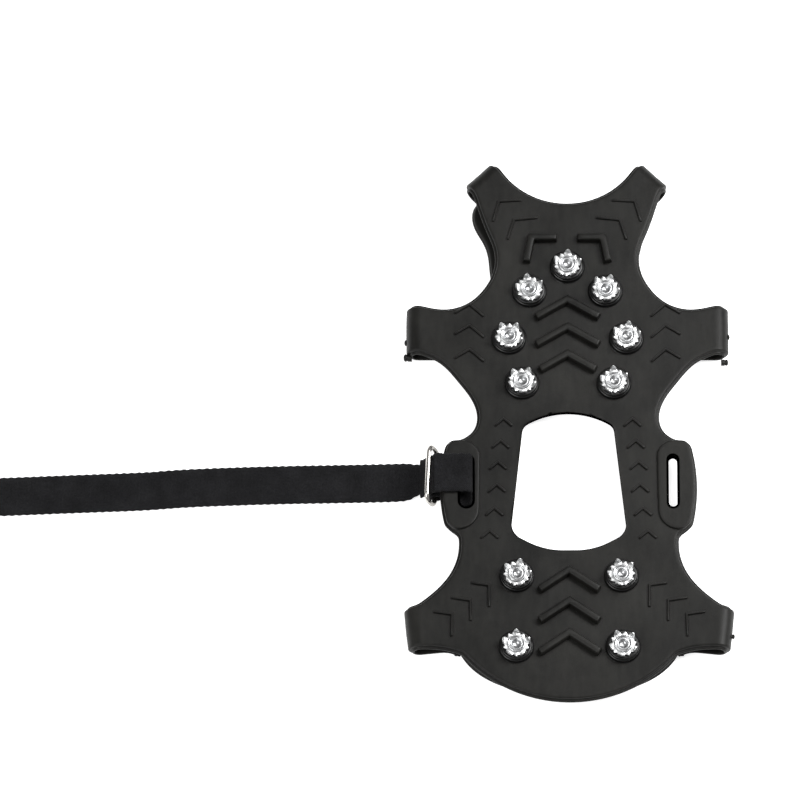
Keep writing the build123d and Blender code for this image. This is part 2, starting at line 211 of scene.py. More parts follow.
def effect(name, inputs, outputs):
    """An empty node group with these inputs (name: kind, default) and outputs (name: kind), and its two ends."""
    group = bpy.data.node_groups.new(name, "ShaderNodeTree")
    for label, (kind, default) in inputs.items():
        socket = group.interface.new_socket(label, in_out="INPUT", socket_type="NodeSocket" + kind)
        if default is not None:
            socket.default_value = default
    for label, kind in outputs.items():
        group.interface.new_socket(label, in_out="OUTPUT", socket_type="NodeSocket" + kind)
    return group, group.nodes.new("NodeGroupInput"), group.nodes.new("NodeGroupOutput")


def finish_of(name, roughness, metallic=0.0, **sockets):
    """A material with its shader's plain numbers set on the shader itself."""
    material = bpy.data.materials.new(name)
    material.use_nodes = True
    shader = material.node_tree.nodes["Principled BSDF"]
    shader.inputs["Roughness"].default_value = roughness
    shader.inputs["Metallic"].default_value = metallic
    for label, value in sockets.items():
        shader.inputs[label.replace("_", " ")].default_value = value
    return material, material.node_tree.nodes, material.node_tree.links, shader


def maths(nodes, links, operation, *values):
    """A Math node on these values, which are numbers or sockets."""
    node = nodes.new("ShaderNodeMath")
    node.operation = operation
    for socket, value in zip(node.inputs, values):
        if isinstance(value, (int, float)):
            socket.default_value = value
        else:
            links.new(value, socket)
    return node.outputs[0]


def noise(nodes, links, vector, scale, detail=3.0, rough=0.55):
    """Noise read at a place, at so many cells to the metre."""
    node = nodes.new("ShaderNodeTexNoise")
    node.inputs["Scale"].default_value = scale
    node.inputs["Detail"].default_value = detail
    node.inputs["Roughness"].default_value = rough
    links.new(vector, node.inputs["Vector"])
    return node.outputs["Fac"]


def colour_between(nodes, links, share, dark, light):
    """A colour between two, by a share from 0 to 1."""
    mix = nodes.new("ShaderNodeMix")
    mix.data_type = "RGBA"
    links.new(share, mix.inputs["Factor"])
    mix.inputs["A"].default_value = (*dark, 1)
    mix.inputs["B"].default_value = (*light, 1)
    return mix.outputs["Result"]


def bump(nodes, links, height, distance, strength=1.0):
    """The surface's normal, disturbed by a height."""
    node = nodes.new("ShaderNodeBump")
    node.inputs["Distance"].default_value = distance
    node.inputs["Strength"].default_value = strength
    links.new(height, node.inputs["Height"])
    return node.outputs["Normal"]


def yarn_effect():
    """Spun yarn: fine clumps of lighter fibre, and a fuzz of height, at so many clumps to the metre."""
    group, into, out = effect(
        "yarn", {"Place": ("Vector", None), "Clumps": ("Float", 900.0)}, {"Light": "Float", "Height": "Float"})
    nodes, links = group.nodes, group.links
    near = nodes.new("ShaderNodeTexNoise")
    near.inputs["Detail"].default_value = 4
    links.new(into.outputs["Place"], near.inputs["Vector"])
    links.new(into.outputs["Clumps"], near.inputs["Scale"])
    wide = noise(nodes, links, into.outputs["Place"], 130.0, 2)
    light = maths(nodes, links, "MULTIPLY", near.outputs["Fac"], maths(nodes, links, "ADD", wide, 0.25))
    links.new(light, out.inputs["Light"])
    links.new(near.outputs["Fac"], out.inputs["Height"])
    return group


YARN = yarn_effect()


def webbing_finish(name, dark, light):
    """Black webbing: spun yarn all over, weft bars across the middle and a slanting twill on the selvages."""
    material, nodes, links, shader = finish_of(name, 0.92, Sheen_Weight=0.04, Sheen_Roughness=0.4)
    shader.inputs["Specular IOR Level"].default_value = 0.10
    place = nodes.new("ShaderNodeTexCoord").outputs["Object"]
    yarn = nodes.new("ShaderNodeGroup")
    yarn.node_tree = YARN
    yarn.inputs["Clumps"].default_value = 1500
    links.new(place, yarn.inputs["Place"])
    layer = nodes.new("ShaderNodeUVMap")
    layer.uv_map = "along_across"
    parts = nodes.new("ShaderNodeSeparateXYZ")
    links.new(layer.outputs["UV"], parts.inputs[0])
    along, across = parts.outputs["X"], maths(nodes, links, "ABSOLUTE", parts.outputs["Y"])
    selvage = maths(nodes, links, "GREATER_THAN", across, WEB_WIDTH / 2 - SELVAGE)
    slant = maths(nodes, links, "MULTIPLY_ADD", across, 0.8, along)
    twill = maths(nodes, links, "SINE", maths(nodes, links, "MULTIPLY", slant, 2 * math.pi / (0.72 * MM)))
    weft = maths(nodes, links, "SINE", maths(nodes, links, "MULTIPLY", along, 2 * math.pi / (0.52 * MM)))
    weft = maths(nodes, links, "MULTIPLY", weft, 0.45)
    chosen = nodes.new("ShaderNodeMix")
    links.new(selvage, chosen.inputs["Factor"])
    links.new(weft, chosen.inputs["A"])
    links.new(twill, chosen.inputs["B"])
    relief = maths(nodes, links, "MULTIPLY_ADD", chosen.outputs["Result"], 0.3, yarn.outputs["Height"])
    share = maths(nodes, links, "MULTIPLY_ADD", chosen.outputs["Result"], 0.16, yarn.outputs["Light"])
    links.new(colour_between(nodes, links, share, dark, light), shader.inputs["Base Color"])
    links.new(bump(nodes, links, relief, 0.22 * MM), shader.inputs["Normal"])
    return material


web_black = webbing_finish("strap_webbing", (0.0004, 0.0004, 0.0005), (0.022, 0.022, 0.024))
nap_black, nodes, links, shader = finish_of("strap_nap", 0.9, Sheen_Weight=0.06, Sheen_Roughness=0.5)
shader.inputs["Specular IOR Level"].default_value = 0.1
patches = noise(nodes, links, nodes.new("ShaderNodeTexCoord").outputs["Object"], 300.0)
links.new(colour_between(nodes, links, patches, (0.0025, 0.0025, 0.003), (0.015, 0.015, 0.0165)),
      shader.inputs["Base Color"])

strap_line, strap_run = route_line("strap_route", STRAP_ROUTE, WEB_STEP)
strap = ribbon("strap_webbing", strap_line, strap_run, *line_frames(strap_line)[1:])
strap_nap = nap("strap_nap", strap_line, strap_run, nap_black, 60, seed=3)
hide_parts("strap")
for piece in (strap, strap_nap):
    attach(piece, "strap")


# ---- Hook tape
# A patch of nylon hooks sewn on the upper face of the strap's free end. It grips the strap's napped middle when the
# strap is folded back through the other ear.
HOOK_PITCH = 1.25 * MM
HOOK_WIRE = 0.09 * MM
patch_low, patch_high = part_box("hook_patch")


def hook_field():
    """Rows of little crooks: each is a fine tube along three quarters of an arch, leaning the same way."""
    end, before = Vector(STRAP_ROUTE[-1]) * MM, Vector(STRAP_ROUTE[-2]) * MM
    along = np.array((before - end).normalized())
    side = np.array((-along[1], along[0], 0.0))
    length, width = patch_high.x - patch_low.x - 1.2 * MM, WEB_WIDTH - 3.0 * MM
    rows, columns = int(length / HOOK_PITCH), int(width / HOOK_PITCH)
    u, v = np.meshgrid(np.arange(rows) + 0.5, np.arange(columns) - (columns - 1) / 2, indexing="ij")
    base = np.array(end)[None] + along * (0.5 * MM + u.ravel() * HOOK_PITCH)[:, None]
    base = base + side * (v.ravel() * HOOK_PITCH)[:, None]
    base[:, 2] = patch_low.z + 0.35 * MM
    turn = np.linspace(-0.15, 1.45, 6) * math.pi / 2
    reach, rise = 0.32 * MM * (1 - np.cos(turn * 1.3)), 0.55 * MM * np.sin(turn)
    spine = base[:, None] + along * reach[None, :, None] + np.array([0, 0, 1.0]) * rise[None, :, None]
    angle = np.arange(4) * math.pi / 2
    ring = side * (np.cos(angle) * HOOK_WIRE)[:, None] + along * (np.sin(angle) * HOOK_WIRE)[:, None]
    verts = (spine[:, :, None] + ring[None, None]).reshape(-1, 3)
    faces = [f for k in range(len(base)) for f in ring_faces(6, 4, start=k * 24)]
    return verts, faces, end, along, side


def hook_base(end, along, side):
    """The tape under the hooks: an oblong with a sewn border that is pressed lower than its middle."""
    inset = np.array([0, 0, 0.35, 1.1, 1.5]) * MM
    level = np.array([0.0, 0.28, 0.38, 0.38, 0.5]) * MM
    length = patch_high.x - patch_low.x - 0.2 * MM
    corner = np.array([(0, -1), (1, -1), (1, 1), (0, 1)])
    rings = []
    for shrink, z in zip(inset, level):
        x = np.where(corner[:, 0] > 0, length - shrink, 0.2 * MM + shrink)
        y = corner[:, 1] * (WEB_WIDTH / 2 - 0.2 * MM - shrink)
        place = np.array(end) + along * x[:, None] + side * y[:, None]
        place[:, 2] = patch_low.z + z
        rings.append(place)
    return np.concatenate(rings), ring_faces(len(inset), 4)


hook_black, nodes, links, shader = finish_of("hook_tape", 0.42, Coat_Weight=0.1)
speck = noise(nodes, links, nodes.new("ShaderNodeTexCoord").outputs["Object"], 700.0)
links.new(colour_between(nodes, links, speck, (0.008, 0.008, 0.009), (0.03, 0.03, 0.032)),
          shader.inputs["Base Color"])
hook_verts, hook_faces, *tape_place = hook_field()
hooks = shown("hook_crooks", hook_verts, hook_faces, hook_black)
hook_tape = shown("hook_tape", *hook_base(*tape_place), hook_black)
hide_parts("hook_patch")
for piece in (hooks, hook_tape):
    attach(piece, "strap")


# ---- Hitch
# The strap's other end. It is sewn round the ring's low bar, goes under the left ear, up through the slot, over the
# ear, and down through the ring, which stands on its low bar and presses it tight.
HITCH_Y = -17.4
HITCH_ROUTE = [
    (-42.4, 5.15), (-46.4, 5.15), (-49.2, 2.35), (-53.1, 2.35), (-53.1, 6.75), (-49.6, 6.75), (-44.0, 6.75),
    (-36.9, 6.75), (-36.9, 11.95), (-42.6, 12.0), (-46.0, 12.1), (-51.4, 11.95),
]
HITCH_SLIP = 6.0 * MM
SLIP_MIDDLE = -38.0 * MM
SLIP_REACH = 6.0 * MM
SLIP_TOP = 11.2 * MM
SLIP_EASE = 4.0 * MM
PASS_ROUTE = [(-48.6, 11.95), (-50.9, 11.95), (-52.3, 9.9), (-53.9, 7.6), (-55.2, 6.1), (-56.6, 4.85)]


def hitch_piece(name, points, seed):
    """One stretch of the hitch with its nap, as two objects. The route bends only in side view, and the width stays
    along Y. Where it comes up through the slot, it has slipped to the slot's heel end."""
    line, run = route_line(name, [(x, HITCH_Y, z) for x, z in points], WEB_STEP)
    nearness = np.exp(-((line[:, 0] - SLIP_MIDDLE) / SLIP_REACH) ** 2)
    line[:, 1] -= HITCH_SLIP * nearness * np.clip((SLIP_TOP - line[:, 2]) / SLIP_EASE, 0, 1)
    tangent = np.gradient(line, axis=0)
    tangent /= np.linalg.norm(tangent, axis=1, keepdims=True)
    side = np.tile([0.0, 1.0, 0.0], (len(line), 1))
    web = ribbon(name, line, run, side, np.cross(side, tangent))
    return web, nap(name + "_nap", line, run, nap_black, 120, seed, both=True)


hitch, hitch_nap = hitch_piece("hitch_webbing", HITCH_ROUTE, seed=5)
crossing, crossing_nap = hitch_piece("pass_webbing", PASS_ROUTE, seed=6)
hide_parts("strap_hitch")
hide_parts("strap_pass")
for piece in (hitch, hitch_nap):
    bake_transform(piece)
for piece in (crossing, crossing_nap):
    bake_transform(piece)

thread, nodes, links, shader = finish_of("tack_thread", 0.6, Sheen_Weight=0.2)
twist = nodes.new("ShaderNodeTexWave")
twist.inputs["Scale"].default_value = 900
twist.inputs["Distortion"].default_value = 1.5
links.new(nodes.new("ShaderNodeTexCoord").outputs["Object"], twist.inputs["Vector"])
links.new(colour_between(nodes, links, twist.outputs["Fac"], (0.005, 0.005, 0.006), (0.04, 0.04, 0.042)),
          shader.inputs["Base Color"])
links.new(bump(nodes, links, twist.outputs["Fac"], 0.1 * MM), shader.inputs["Normal"])
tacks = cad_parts["bar_tacks"]
tacks.data.materials.clear()
tacks.data.materials.append(thread)


# ---- Strap ring
# Nickel-plated round wire bent to an oblong and butt welded. Its low bar is captive in the strap's sewn end, and its
# high bar lies over the strap.
WIRE = 2.0 * MM
RING_LENGTH = 24.5 * MM
RING_CORNER = 3.2 * MM
RING_LOW_BAR = (-50.9 * MM, 4.55 * MM)
RING_HIGH_BAR = (-54.0 * MM, 11.7 * MM)
RING_SKEW = math.radians(-3)


def rounded_oblong(width, height, radius, per_corner=14, per_side=24):
    """A closed loop round the origin: four quarter circles joined by straight sides, each with its own points."""
    angle = np.linspace(0, math.pi / 2, per_corner)
    corner = np.column_stack([np.cos(angle), np.sin(angle)]) * radius
    loop = []
    for k, (sx, sy) in enumerate(((1, 1), (-1, 1), (-1, -1), (1, -1))):
        c, s = math.cos(k * math.pi / 2), math.sin(k * math.pi / 2)
        turned = corner @ np.array([[c, s], [-s, c]])
        loop.append(turned + np.array([sx * (width / 2 - radius), sy * (height / 2 - radius)]))
    loop = np.concatenate(loop)
    step = np.linalg.norm(np.roll(loop, -1, axis=0) - loop, axis=1)
    run = np.concatenate([[0], np.cumsum(step)])
    closed = np.concatenate([loop, loop[:1]])
    even = np.linspace(0, run[-1], 4 * (per_corner + per_side) + 1)[:-1]
    return np.column_stack([np.interp(even, run, closed[:, k]) for k in range(2)])


def wire_ring():
    """Round wire along the oblong, leaning from the low bar to the high one, with a swelling at its weld."""
    lean = np.array([RING_HIGH_BAR[0] - RING_LOW_BAR[0], 0, RING_HIGH_BAR[1] - RING_LOW_BAR[1]])
    height = np.linalg.norm(lean)
    lean /= height
    loop = rounded_oblong(height, RING_LENGTH - WIRE, RING_CORNER)
    centre = loop[:, :1] * lean + loop[:, 1:] * np.array([0, 1.0, 0]) + lean * height / 2
    tangent = np.roll(centre, -1, axis=0) - np.roll(centre, 1, axis=0)
    tangent /= np.linalg.norm(tangent, axis=1, keepdims=True)
    flat = np.cross(lean, [0, 1.0, 0])
    side = np.cross(tangent, flat)
    angle = np.arange(20) * 2 * math.pi / 20
    weld = 1 + 0.07 * np.exp(-((centre[:, 1] - 4 * MM) / (0.7 * MM)) ** 2) * (loop[:, 0] < 0)
    radius = WIRE / 2 * weld[:, None, None]
    verts = centre[:, None] + radius * (side[:, None] * np.cos(angle)[None, :, None]
                                        + flat[None, None] * np.sin(angle)[None, :, None])
    verts = verts.reshape(-1, 3)
    c, s = math.cos(RING_SKEW), math.sin(RING_SKEW)
    verts[:, :2] = verts[:, :2] @ np.array([[c, s], [-s, c]])
    place = np.array([RING_LOW_BAR[0], HITCH_Y * MM, RING_LOW_BAR[1]])
    return verts + place, ring_faces(len(loop), 20, looped=True)


def metal_effect():
    """Plated metal: wide clouds of duller plating and fine scratches, as a share of dullness and a height."""
    group, into, out = effect(
        "plating", {"Place": ("Vector", None), "Scratches": ("Float", 400.0)}, {"Dull": "Float", "Height": "Float"})
    nodes, links = group.nodes, group.links
    cloud = noise(nodes, links, into.outputs["Place"], 260.0, 4)
    stretched = nodes.new("ShaderNodeMapping")
    stretched.inputs["Scale"].default_value = (1.0, 7.0, 2.0)
    stretched.inputs["Rotation"].default_value = (0.2, 0.4, 0.7)
    links.new(into.outputs["Place"], stretched.inputs["Vector"])
    fine = nodes.new("ShaderNodeTexNoise")
    fine.inputs["Detail"].default_value = 5
    links.new(stretched.outputs["Vector"], fine.inputs["Vector"])
    links.new(into.outputs["Scratches"], fine.inputs["Scale"])
    dull = maths(nodes, links, "MULTIPLY_ADD", fine.outputs["Fac"], 0.5, maths(nodes, links, "MULTIPLY", cloud, 0.5))
    links.new(dull, out.inputs["Dull"])
    links.new(fine.outputs["Fac"], out.inputs["Height"])
    return group


PLATING = metal_effect()


def plated(name, dull_colour, bright_colour, smooth, rough, scratches, depth):
    """A plated metal between a dull and a bright colour, rougher where it is dull."""
    material, nodes, links, shader = finish_of(name, smooth, metallic=1.0)
    plating = nodes.new("ShaderNodeGroup")
    plating.node_tree = PLATING
    plating.inputs["Scratches"].default_value = scratches
    links.new(nodes.new("ShaderNodeTexCoord").outputs["Object"], plating.inputs["Place"])
    dull = plating.outputs["Dull"]
    links.new(colour_between(nodes, links, dull, bright_colour, dull_colour), shader.inputs["Base Color"])
    links.new(maths(nodes, links, "MULTIPLY_ADD", dull, rough - smooth, smooth), shader.inputs["Roughness"])
    links.new(bump(nodes, links, plating.outputs["Height"], depth), shader.inputs["Normal"])
    return material


nickel = plated("ring_nickel", (0.34, 0.33, 0.31), (0.62, 0.60, 0.57), 0.14, 0.28, 500.0, 0.0012 * MM)
strap_ring = shown("strap_ring_wire", *wire_ring(), nickel)
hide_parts("strap_ring")
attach(strap_ring, "ring")


# ---- Rubber overshoe
# One moulding of black thermoplastic rubber, 2.4 mm thick: the sole, six arms that roll over at their tips and run
# back underneath, and an arch opening. Every edge ends in a slim rounded bead that keeps it from tearing.
SHEET = 2.4 * MM
TREAD = 10.0 * MM
UNDER = TREAD - SHEET
MIDDLE = TREAD - SHEET / 2
CURL = TREAD / 2 - SHEET / 2
ROLL = CURL * math.pi
TOE_ARM = ((34.5, 109.0), 46.0, 15.0, 16.0)
MID_ARM = ((62.2, 43.3), 0.0, 20.4, 20.5)
HEEL_ARM = ((62.4, -80.0), -6.0, 18.0, 15.0)
ARMS = (TOE_ARM, MID_ARM, HEEL_ARM)
FLARE = 3.0
FLARE_RUN = 7.0
HEEL_END = (0, -110.18)
TOE_NOTCH = (0, 96.3)
OUTLINE_STEP = 0.75 * MM
SLOT_CENTRE = np.array((40.1, -20.6))
SLOT_WIDTH = 6.9
SLOT_LENGTH = 24.6
LEFT_SLOT_STRETCH = 1.6
FILL_STEP = 2.0 * MM
ARM_FILL_STEP = 1.0 * MM


def arm_axes(arm):
    """Middle of the fold line, direction outwards and direction across, in plan, with lengths in millimetres."""
    tip, angle, width, tab = arm
    out = np.array([math.cos(math.radians(angle)), math.sin(math.radians(angle))])
    return np.array(tip) - out * TREAD / 2 / MM, out, np.array([-out[1], out[0]])


def curve_through(*points):
    """A natural cubic spline through the points, with chord lengths as its parameter, sampled finely."""
    p = np.array(points, float)
    t = np.concatenate([[0], np.cumsum(np.linalg.norm(np.diff(p, axis=0), axis=1))])
    h = np.diff(t)
    n = len(p)
    system, right = np.eye(n), np.zeros((n, 2))
    for k in range(1, n - 1):
        system[k, k - 1:k + 2] = h[k - 1], 2 * (h[k - 1] + h[k]), h[k]
        right[k] = 6 * ((p[k + 1] - p[k]) / h[k] - (p[k] - p[k - 1]) / h[k - 1])
    second = np.linalg.solve(system, right)
    s = np.linspace(0, t[-1], max(8, int(t[-1] * 4)))
    k = np.clip(np.searchsorted(t, s, side="right") - 1, 0, n - 2)
    a, b, w = (t[k + 1] - s)[:, None], (s - t[k])[:, None], h[k][:, None]
    return (second[k] * a ** 3 + second[k + 1] * b ** 3) / (6 * w) + (p[k] / w - second[k] * w / 6) * a + (
        p[k + 1] / w - second[k + 1] * w / 6) * b


def arc_through(start, middle, end):
    """The circular arc through three points, sampled finely."""
    a, b, c = (complex(*p) for p in (start, middle, end))
    w = (c - a) / (b - a)
    centre = (b - a) * (w - abs(w) ** 2) / (2j * w.imag) + a
    first, sweep = a - centre, np.angle((c - centre) / (a - centre))
    if np.sign(np.angle((b - centre) / (a - centre))) != np.sign(sweep):
        sweep -= math.copysign(2 * math.pi, sweep)
    spots = centre + first * np.exp(1j * sweep * np.linspace(0, 1, 40))
    return np.column_stack([spots.real, spots.imag])


def arm_edge(arm):
    """An arm laid out flat beyond its fold line: straight sides that flare into the collar band at the end."""
    origin, out, across = arm_axes(arm)
    width, length = arm[2], ROLL / MM + arm[3]
    s = np.linspace(0, length, 60)
    flare = FLARE * np.clip((s - length + FLARE_RUN) / FLARE_RUN, 0, 1) ** 2
    half = width / 2 + flare
    low = origin + out * s[:, None] - across * half[:, None]
    high = origin + out * s[:, None] + across * half[:, None]
    return np.concatenate([low, high[::-1]])


def corners(arm):
    """The fold line's heel-side end and its toe-side end."""
    origin, out, across = arm_axes(arm)
    return tuple(origin - across * arm[2] / 2), tuple(origin + across * arm[2] / 2)


def right_outline():
    """The right half of the sole's edge from heel to toe, with its arms laid out flat."""
    heel_low, heel_high = corners(HEEL_ARM)
    mid_low, mid_high = corners(MID_ARM)
    toe_low, toe_high = corners(TOE_ARM)
    return np.concatenate([
        arc_through(HEEL_END, (22.0, -105.4), (41.0, -90.9)),
        curve_through((41.0, -90.9), (48.5, -88.9), heel_low),
        arm_edge(HEEL_ARM),
        curve_through(heel_high, (51.5, -64.9), (44.9, -56.6), (42.2, -47.5), (42.2, -42.4)),
        np.array([(44.6, -41.0)]),
        arc_through((47.6, -38.0), (49.4, -21.3), (47.2, -4.8)),
        np.array([(44.8, -2.6)]),
        curve_through((41.2, -2.6), (36.6, 1.0), (35.0, 6.5), (36.6, 13.0), (42.4, 21.6), (49.5, 29.4), mid_low),
        arm_edge(MID_ARM),
        curve_through(mid_high, (47.0, 51.8), (38.4, 54.4), (32.0, 60.6), (28.3, 68.5), (28.2, 76.0), (31.0, 83.8),
                      (33.4, 90.5), toe_low),
        arm_edge(TOE_ARM),
        arc_through(toe_high, (13.4, 99.4), TOE_NOTCH),
    ])


def arch_half():
    """The right half of the arch opening, from its toe side to its heel side."""
    return np.concatenate([
        arc_through((0, 10.7), (9.5, 9.3), (16.6, 6.2)),
        arc_through((16.6, 6.2), (19.2, 3.9), (20.1, 0.4)),
        arc_through((24.1, -36.0), (23.0, -42.8), (18.5, -46.4)),
        arc_through((18.5, -46.4), (9.6, -50.2), (0, -51.0)),
    ])


def even_loop(points, step, ease=1.2):
    """A closed loop in metres with a point every step, its corners eased by averaging over a short length."""
    p = np.asarray(points) * MM
    p = np.concatenate([p, p[:1]])
    run = np.concatenate([[0], np.cumsum(np.linalg.norm(np.diff(p, axis=0), axis=1))])
    keep = np.concatenate([[True], np.diff(run) > 1e-9])
    count = round(run[-1] / step)
    even = np.linspace(0, run[-1], count + 1)[:-1]
    loop = np.column_stack([np.interp(even, run[keep], p[keep, k]) for k in range(2)])
    offset = np.arange(-6, 7)
    weight = np.exp(-0.5 * (offset * step / (ease * MM)) ** 2)
    weight /= weight.sum()
    return sum(w * np.roll(loop, k, axis=0) for k, w in zip(offset, weight))


def whole(half):
    """A half loop on the right of the middle, with its mirror image, as one closed loop."""
    return np.concatenate([half, (half * [-1, 1])[::-1]])


def loop_normal(loop, away):
    """Unit directions square to a closed loop: outwards if away is 1, inwards if -1."""
    along = np.roll(loop, -1, axis=0) - np.roll(loop, 1, axis=0)
    along /= np.linalg.norm(along, axis=1, keepdims=True)
    area = np.sum(loop[:, 0] * np.roll(loop[:, 1], -1) - loop[:, 1] * np.roll(loop[:, 0], -1))
    return np.column_stack([along[:, 1], -along[:, 0]]) * math.copysign(away, area)


def rim(loop, away, profile):
    """A profile of (distance out from the edge, height) carried round a closed loop."""
    normal = loop_normal(loop, away)
    place = loop[None] + normal[None] * profile[:, 0][:, None, None]
    height = np.repeat(profile[:, 1], len(loop)).reshape(len(profile), len(loop), 1)
    return np.concatenate([place, height], axis=2)


def inside(points, loops):
    """True where a point lies inside the first loop and outside the others, by counting crossings to its right."""
    found = np.zeros(len(points), bool)
    for loop in loops:
        a, b = loop, np.roll(loop, -1, axis=0)
        for part in np.array_split(np.arange(len(points)), max(1, len(points) // 2000)):
            x, y = points[part, :1], points[part, 1:]
            spans = (a[:, 1] > y) != (b[:, 1] > y)
            with np.errstate(divide="ignore", invalid="ignore"):
                cut = (b[:, 0] - a[:, 0]) * (y - a[:, 1]) / (b[:, 1] - a[:, 1]) + a[:, 0]
            found[part] ^= (np.sum(spans & (x < cut), axis=1) % 2).astype(bool)
    return found


def nearest(points, loops):
    """Distance from each point to the nearest point of any loop."""
    every = np.concatenate(loops)
    parts = np.array_split(points, max(1, len(points) // 1000))
    return np.concatenate([np.min(np.linalg.norm(p[:, None] - every[None], axis=2), axis=1) for p in parts])


def flat_fill(loops, candidates, room):
    """Triangles over the region between loops, with the candidate points that have room added inside it."""
    candidates = candidates[inside(candidates, loops)]
    candidates = candidates[nearest(candidates, loops) > room]
    edges, start = [], 0
    for loop in loops:
        edges += [(start + k, start + (k + 1) % len(loop)) for k in range(len(loop))]
        start += len(loop)
    every = np.concatenate([*loops, candidates]) / MM
    verts, _, faces, *_ = delaunay_2d_cdt([Vector(p) for p in every.tolist()], edges, [], 0, 1e-5)
    verts = np.array([tuple(v) for v in verts]) * MM
    faces = np.array([tuple(f) for f in faces if len(f) == 3])
    return verts, faces[inside(verts[faces].mean(axis=1), loops)]


def grid(low, high, step):
    """Points in staggered rows over an oblong."""
    x, y = np.meshgrid(np.arange(low[0], high[0], step), np.arange(low[1], high[1], step * 0.866), indexing="ij")
    x = x + (np.arange(x.shape[1]) % 2)[None] * step / 2
    return np.column_stack([x.ravel(), y.ravel()])


def fold_arms(points):
    """Rolls the flat arms over: beyond its fold line an arm turns half a circle about a line across it, and then
    runs back underneath. Heights above the sheet's middle become distances from that line."""
    folded = points.copy()
    for arm in ARMS:
        for mirrored in (1, -1):
            origin, out, across = (v * [mirrored, 1] for v in arm_axes(arm))
            reach = arm[3] * MM
            local = points[:, :2] - origin * MM
            s, t = local @ out, local @ across
            on = (s > 0) & (np.abs(t) < (arm[2] / 2 + 6) * MM) & (s < ROLL + reach + 2 * MM)
            turn = np.clip(s[on] / CURL, 0, math.pi)
            radius = CURL + points[on, 2] - MIDDLE
            along = radius * np.sin(turn) - np.clip(s[on] - ROLL, 0, None)
            folded[on, :2] = origin * MM + out * along[:, None] + across * t[on][:, None]
            folded[on, 2] = TREAD / 2 + radius * np.cos(turn)
    return folded


def edge_profile(bottom, top, crown=0.75, bead=0.52):
    """A wall's edge: rounded at the top, drawn in a little, and swollen to a round bead at the bottom."""
    arc = np.linspace(0, math.pi / 2, 5)
    shoulder = np.column_stack([-1.0 - crown + crown * np.sin(arc), top / MM - crown + crown * np.cos(arc)])
    swell = np.linspace(math.radians(100), math.radians(-90), 9)
    foot = np.column_stack([-bead + bead * np.cos(swell), bottom / MM + bead + bead * np.sin(swell)])
    ends = [(-2.4, top / MM)], shoulder, [(-0.93, bottom / MM + 2 * bead + 0.12)], foot, [(-2.4, bottom / MM)]
    return np.concatenate(ends) * MM


def rubber_slab(name, loops, profile, step, extra, folded, relief=0.0):
    """A sheet bounded by loops (the first is its outside, the rest are openings): rims, an upper and a lower face."""
    verts, faces, start = [], [], 0
    for k, loop in enumerate(loops):
        rings = rim(loop, 1 if k == 0 else -1, profile)
        verts.append(rings.reshape(-1, 3))
        faces += ring_faces(len(profile), len(loop), start, capped=False)
        start += len(profile) * len(loop)
    inner = [rim(loop, 1 if k == 0 else -1, profile[:1])[0][:, :2] for k, loop in enumerate(loops)]
    low, high = loops[0].min(axis=0), loops[0].max(axis=0)
    fill, triangles = flat_fill(inner, np.concatenate([grid(low, high, step), *extra]), 0.55 * step)
    wave = relief * np.sin(fill[:, 0] * 190 + 1.3) * np.cos(fill[:, 1] * 150)
    wave = wave * np.clip(nearest(fill, inner) / (5 * MM), 0, 1)
    for height, turn, sway in ((profile[0, 1], 1, wave), (profile[-1, 1], -1, 0 * wave)):
        verts.append(np.column_stack([fill, height + sway]))
        faces += (triangles[:, ::turn] + start).tolist()
        start += len(fill)
    verts = np.concatenate(verts)
    return shown(name, fold_arms(verts) if folded else verts, faces, rubber, sharp=50, weld=0.001 * MM)


def rubber_effect():
    """Moulded rubber: the mould's fine grain, wide clouds of bloom, and rubbed streaks, as lightness and height."""
    group, into, out = effect(
        "moulded_rubber", {"Place": ("Vector", None), "Grain": ("Float", 2200.0)},
        {"Light": "Float", "Bloom": "Float", "Height": "Float"})
    nodes, links = group.nodes, group.links
    grain = nodes.new("ShaderNodeTexNoise")
    grain.inputs["Detail"].default_value = 2
    links.new(into.outputs["Place"], grain.inputs["Vector"])
    links.new(into.outputs["Grain"], grain.inputs["Scale"])
    bloom = noise(nodes, links, into.outputs["Place"], 38.0, 5, 0.6)
    rubbed = nodes.new("ShaderNodeMapping")
    rubbed.inputs["Scale"].default_value = (1.0, 0.25, 1.0)
    rubbed.inputs["Rotation"].default_value = (0, 0, 0.5)
    links.new(into.outputs["Place"], rubbed.inputs["Vector"])
    streak = noise(nodes, links, rubbed.outputs["Vector"], 420.0, 6, 0.65)
    light = maths(nodes, links, "MULTIPLY_ADD", streak, 0.9, maths(nodes, links, "MULTIPLY", bloom, 1.9))
    light = maths(nodes, links, "SUBTRACT", light, 0.9)
    swell = noise(nodes, links, into.outputs["Place"], 160.0, 2)
    low = maths(nodes, links, "MULTIPLY_ADD", swell, 1.6, grain.outputs["Fac"])
    links.new(light, out.inputs["Light"])
    links.new(bloom, out.inputs["Bloom"])
    links.new(low, out.inputs["Height"])
    return group


MOULDED = rubber_effect()


def rubber_finish(name, dark, light, smooth, rough, grain, depth, gloss):
    """Black rubber between two tones, duller where its bloom is lighter."""
    material, nodes, links, shader = finish_of(name, rough)
    shader.inputs["Specular IOR Level"].default_value = gloss
    moulded = nodes.new("ShaderNodeGroup")
    moulded.node_tree = MOULDED
    moulded.inputs["Grain"].default_value = grain
    links.new(nodes.new("ShaderNodeTexCoord").outputs["Object"], moulded.inputs["Place"])
    links.new(colour_between(nodes, links, moulded.outputs["Light"], dark, light), shader.inputs["Base Color"])
    links.new(maths(nodes, links, "MULTIPLY_ADD", moulded.outputs["Bloom"], rough - smooth, smooth),
              shader.inputs["Roughness"])
    links.new(bump(nodes, links, moulded.outputs["Height"], depth), shader.inputs["Normal"])
    return material


